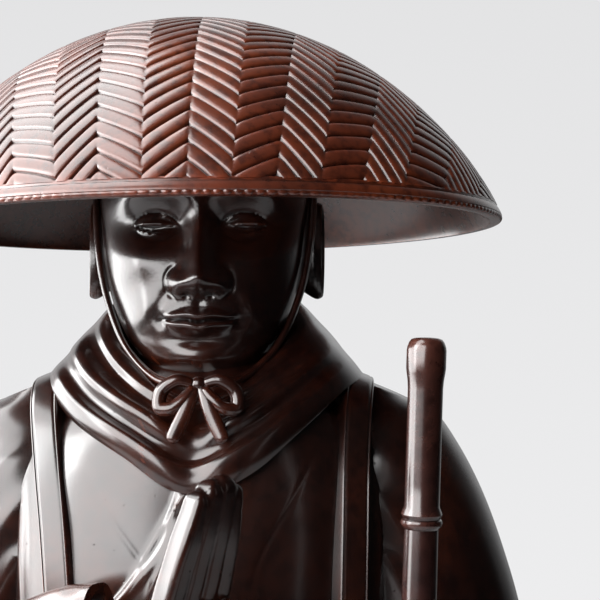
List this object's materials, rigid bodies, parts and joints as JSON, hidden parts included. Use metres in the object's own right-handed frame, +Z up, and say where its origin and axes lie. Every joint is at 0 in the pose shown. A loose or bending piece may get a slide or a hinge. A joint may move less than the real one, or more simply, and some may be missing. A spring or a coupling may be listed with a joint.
{
  "type": "buddhist monk statue",
  "caption": "A dark red-brown bronze monk in a woven dome hat, neck scarf and wide-sleeved robe stands on a low round plinth with one hand raised and a bamboo staff in the other.",
  "frame": {"origin": "centre of the plinth's flat underside", "axes": "+Z up; the figure faces -Y, with +X to the right of someone looking at its face; metres"},
  "size_m": [0.152, 0.152, 0.3944],
  "materials": {
    "figure_bronze": "cast bronze with a dark red-brown lacquer patina, glossy, with fine casting pits",
    "hat_bronze": "cast bronze with a glossy red-brown lacquer patina, rubbed lighter on the weave's ridges",
    "staff_bronze": "cast bronze with a glossy dark red-brown lacquer patina",
    "plinth_bronze": "cast bronze with a dark brown lacquer patina, satin"
  },
  "bodies": {
    "root": {"figure": "figure_bronze", "hat": "hat_bronze", "staff": "staff_bronze", "plinth": "plinth_bronze"}
  },
  "joints": []
}
